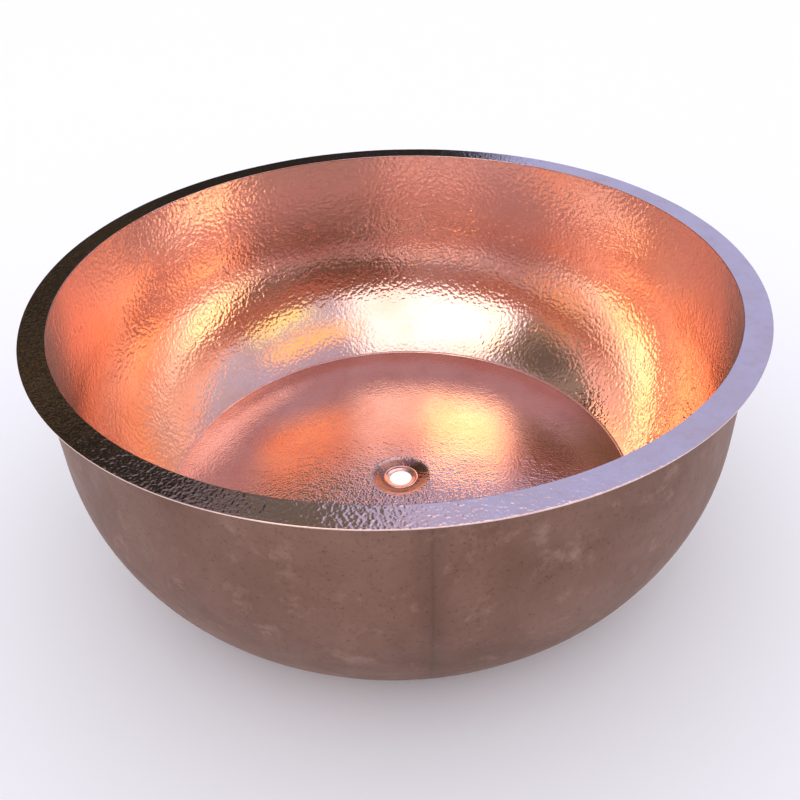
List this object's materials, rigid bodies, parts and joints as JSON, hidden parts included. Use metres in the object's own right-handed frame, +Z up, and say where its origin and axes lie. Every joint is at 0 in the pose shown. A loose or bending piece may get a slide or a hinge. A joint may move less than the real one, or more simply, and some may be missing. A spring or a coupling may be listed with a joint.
{
  "type": "freestanding bathtub",
  "caption": "round freestanding double-walled copper bathtub with a broad hammered rim, a hammered bowl, a flat floor and a dished drain hole, for soaking",
  "frame": {"origin": "on the ground, at the middle of the tub's round foot, under the drain", "axes": "+Z up along the tub's axis, -Y towards the side with the visible upright seam, which is turned 4.5 degrees towards +X"},
  "size_m": [1.524, 1.524, 0.61],
  "materials": {
    "hammered_rim_copper": "hand-hammered copper sheet, polished",
    "hammered_wall_copper": "hand-hammered copper sheet, polished",
    "hammered_floor_copper": "hand-hammered copper sheet, satin polished",
    "weld_copper": "copper weld bead, wire brushed",
    "smooth_copper": "turned copper, smooth",
    "brown_copper_skin": "plain copper sheet with a dull brown patina",
    "black_steel": "flat bar steel, black primer"
  },
  "bodies": {
    "root": {"rim_segment_1": "hammered_rim_copper", "rim_segment_2": "hammered_rim_copper", "rim_segment_3": "hammered_rim_copper", "rim_segment_4": "hammered_rim_copper", "rim_segment_5": "hammered_rim_copper", "rim_segment_6": "hammered_rim_copper", "rim_segment_7": "hammered_rim_copper", "rim_segment_8": "hammered_rim_copper", "inner_wall_panel_1": "hammered_wall_copper", "inner_wall_panel_2": "hammered_wall_copper", "inner_wall_panel_3": "hammered_wall_copper", "inner_wall_panel_4": "hammered_wall_copper", "inner_wall_panel_5": "hammered_wall_copper", "inner_wall_panel_6": "hammered_wall_copper", "inner_wall_panel_7": "hammered_wall_copper", "inner_wall_panel_8": "hammered_wall_copper", "tub_floor": "hammered_floor_copper", "floor_weld_bead": "weld_copper", "drain_collar": "smooth_copper", "outer_skin_panel_1": "brown_copper_skin", "outer_skin_panel_2": "brown_copper_skin", "outer_skin_panel_3": "brown_copper_skin", "outer_skin_panel_4": "brown_copper_skin", "foot_ring": "brown_copper_skin", "rim_hoop": "black_steel", "base_ring": "black_steel", "drain_hoop": "black_steel", "rib_1": "black_steel", "rib_2": "black_steel", "rib_3": "black_steel", "rib_4": "black_steel", "rib_5": "black_steel", "rib_6": "black_steel", "rib_7": "black_steel", "rib_8": "black_steel", "floor_bearer_1": "black_steel", "floor_bearer_2": "black_steel", "floor_bearer_3": "black_steel", "floor_bearer_4": "black_steel", "floor_bearer_5": "black_steel", "floor_bearer_6": "black_steel", "floor_bearer_7": "black_steel", "floor_bearer_8": "black_steel"}
  },
  "joints": []
}
